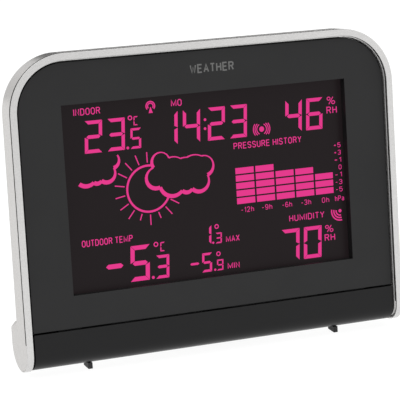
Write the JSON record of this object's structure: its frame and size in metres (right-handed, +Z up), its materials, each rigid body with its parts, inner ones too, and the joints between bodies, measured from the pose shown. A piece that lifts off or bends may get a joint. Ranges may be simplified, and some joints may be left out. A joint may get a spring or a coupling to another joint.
{
  "type": "home weather station",
  "caption": "Leaning desktop weather station: silver arch frame, recessed display in a black panel, base bar with battery bay, rear keys and a folding prop stand.",
  "frame": {"origin": "middle of the footprint, on the table, with the stand open", "axes": "+X to the viewer's right along the display, +Y from the display to the back, +Z up"},
  "size_m": [0.175, 0.0474, 0.133],
  "materials": {
    "panel_black": "fine moulded texture, black ABS",
    "cover_black": "satin black ABS",
    "silver_trim": "brushed, clear anodised strip",
    "silver_frame": "silver-lacquered ABS, satin",
    "shell_black": "spark-eroded texture, black ABS",
    "steel_pin": "drawn rod",
    "rubber_pad": "matt",
    "foot_black": "matt moulded",
    "foam": "closed-cell foam strip",
    "polariser_film": "anti-glare film over a negative display",
    "display_glass": "two bonded panes",
    "white_film": "matt film",
    "clear_acrylic": "polished clear plate",
    "white_abs": "moulded",
    "led_resin": "tinted resin",
    "silicone": "layered conductive rubber",
    "board_green": "solder mask on glass-fibre laminate",
    "board_blue": "solder mask on glass-fibre laminate",
    "chip_epoxy": "moulded epoxy",
    "copper_wire": "enamelled copper",
    "ferrite": "sintered ferrite rod",
    "nickel_can": "nickel-plated can",
    "nickel_steel": "nickel-plated spring steel",
    "switch_body": "moulded",
    "key_black": "satin",
    "cell_sleeve": "printed sleeve on a steel can",
    "lead_insulation": "PVC insulation",
    "zinc_screws": "zinc-plated"
  },
  "bodies": {
    "housing": {"front_bezel": "panel_black", "lower_cover": "cover_black", "front_trim": "silver_trim", "side_frame": "silver_frame", "rear_shell": "shell_black", "stand_pin": "steel_pin", "left_foot": "foot_black", "right_foot": "foot_black", "screen_gasket": "foam", "front_polariser": "polariser_film", "display_glass": "display_glass", "diffuser_sheet": "white_film", "light_guide": "clear_acrylic", "reflector_sheet": "white_film", "display_holder": "white_abs", "backlight_leds": "led_resin", "rubber_connector": "silicone", "main_board": "board_green", "processor": "chip_epoxy", "radio_module": "board_blue", "radio_antenna": "copper_wire", "time_antenna_rod": "ferrite", "time_antenna_coil": "copper_wire", "pressure_sensor": "nickel_can", "humidity_sensor": "white_abs", "buzzer": "chip_epoxy", "key_switches": "switch_body", "slide_switch": "nickel_can", "power_inlet": "chip_epoxy", "battery_spring": "nickel_steel", "battery_plate": "nickel_steel", "cell_1": "cell_sleeve", "cell_2": "cell_sleeve", "cell_3": "cell_sleeve", "power_leads": "lead_insulation", "case_screws": "zinc_screws", "board_screws": "zinc_screws"},
    "prop_stand": {"stand": "shell_black", "stand_pad": "rubber_pad"},
    "door": {"battery_door": "shell_black"},
    "backlight_slider": {"slide_knob": "key_black"},
    "key_1_cap": {"key_1": "key_black"},
    "key_2_cap": {"key_2": "key_black"},
    "key_3_cap": {"key_3": "key_black"},
    "key_4_cap": {"key_4": "key_black"},
    "key_5_cap": {"key_5": "key_black"},
    "key_6_cap": {"key_6": "key_black"}
  },
  "joints": [
    {"name": "stand_hinge", "type": "hinge", "parent": "housing", "child": "prop_stand", "pos_m": [0, -0.00153, 0.04121], "axis": [1, 0, 0], "range_deg": [0, 140.8]},
    {"name": "door_slide", "type": "slide", "parent": "housing", "child": "door", "axis": [0, 0.9894, -0.1452], "range_m": [0, 0.012]},
    {"name": "backlight_switch", "type": "slide", "parent": "housing", "child": "backlight_slider", "axis": [1, 0, 0], "range_m": [0, 0.003]},
    {"name": "key_1_press", "type": "slide", "parent": "housing", "child": "key_1_cap", "axis": [0, -0.9894, 0.1452], "range_m": [0, 0.0004], "stiffness_N_per_m": 600},
    {"name": "key_2_press", "type": "slide", "parent": "housing", "child": "key_2_cap", "axis": [0, -0.9894, 0.1452], "range_m": [0, 0.0004], "stiffness_N_per_m": 600},
    {"name": "key_3_press", "type": "slide", "parent": "housing", "child": "key_3_cap", "axis": [0, -0.9894, 0.1452], "range_m": [0, 0.0004], "stiffness_N_per_m": 600},
    {"name": "key_4_press", "type": "slide", "parent": "housing", "child": "key_4_cap", "axis": [0, -0.9894, 0.1452], "range_m": [0, 0.0004], "stiffness_N_per_m": 600},
    {"name": "key_5_press", "type": "slide", "parent": "housing", "child": "key_5_cap", "axis": [0, -0.9894, 0.1452], "range_m": [0, 0.0004], "stiffness_N_per_m": 600},
    {"name": "key_6_press", "type": "slide", "parent": "housing", "child": "key_6_cap", "axis": [0, -0.9894, 0.1452], "range_m": [0, 0.0004], "stiffness_N_per_m": 600}
  ]
}
